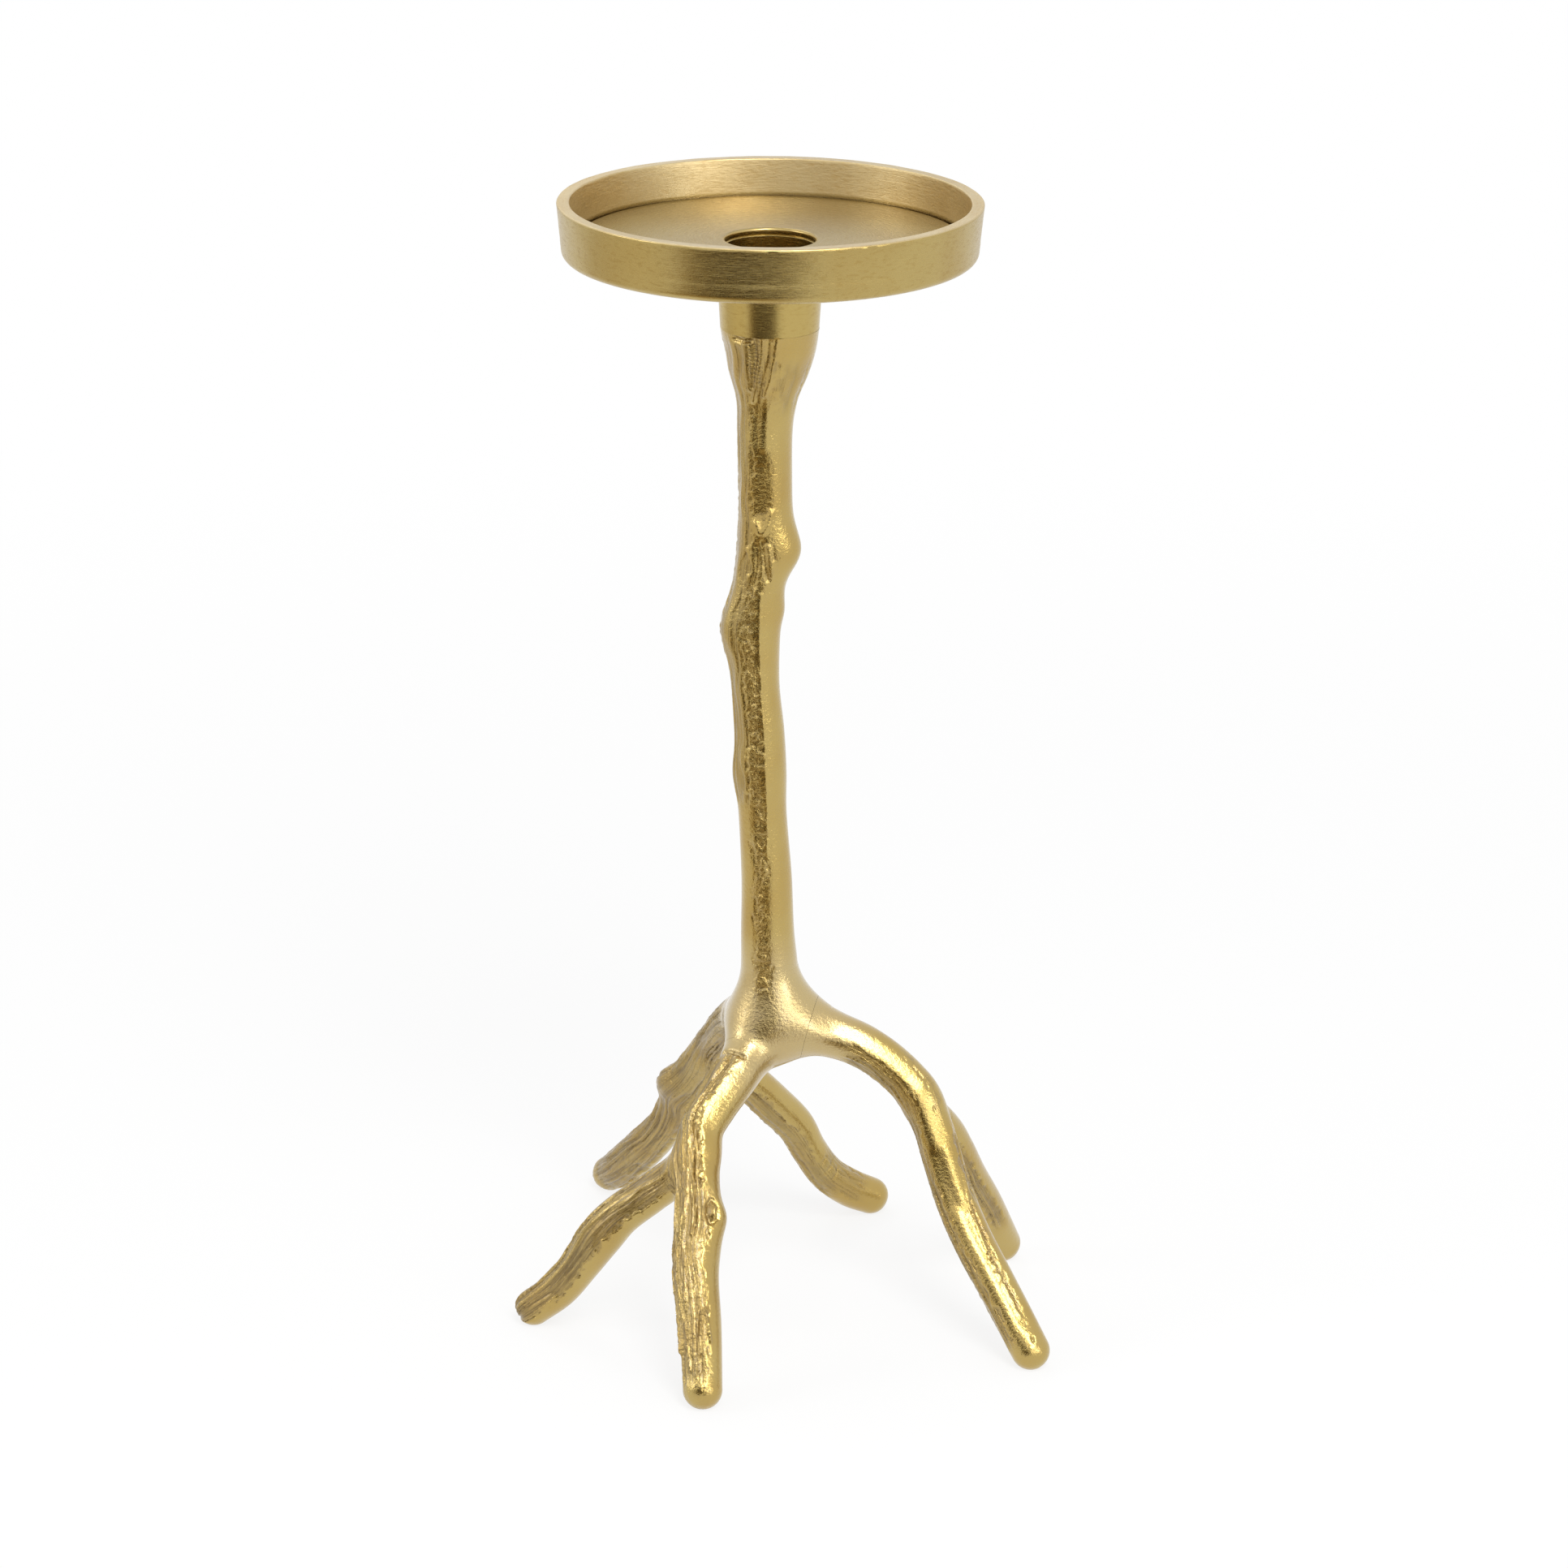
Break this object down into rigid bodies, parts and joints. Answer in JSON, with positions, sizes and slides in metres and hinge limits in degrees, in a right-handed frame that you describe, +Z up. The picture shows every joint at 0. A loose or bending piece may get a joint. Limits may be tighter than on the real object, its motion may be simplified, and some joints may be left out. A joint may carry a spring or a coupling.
{
  "type": "branch candle holder",
  "caption": "Gold cast-metal candle holder shaped as a branch: a shallow turned dish with a taper socket on a knotty stem that spreads into forked legs.",
  "frame": {"origin": "on the floor, in the middle of the box around the holder", "axes": "+Z up along the stem, -Y towards the side the picture shows, +X to its right"},
  "size_m": [0.1415, 0.1441, 0.3],
  "materials": {
    "cast_gold": "sand-cast bark relief, ground and gold plated",
    "turned_gold": "turned and brushed, gold plated",
    "plain_steel": "plain"
  },
  "bodies": {
    "root": {"candle_dish": "turned_gold", "dish_screw": "plain_steel", "stem": "cast_gold", "front_leg": "cast_gold", "right_leg": "cast_gold", "back_leg": "cast_gold", "front_leg_twig": "cast_gold", "right_leg_twig": "cast_gold", "back_leg_twig": "cast_gold", "front_leg_stud": "plain_steel", "right_leg_stud": "plain_steel", "back_leg_stud": "plain_steel", "front_twig_stud": "plain_steel", "right_twig_stud": "plain_steel", "back_twig_stud": "plain_steel"}
  },
  "joints": []
}
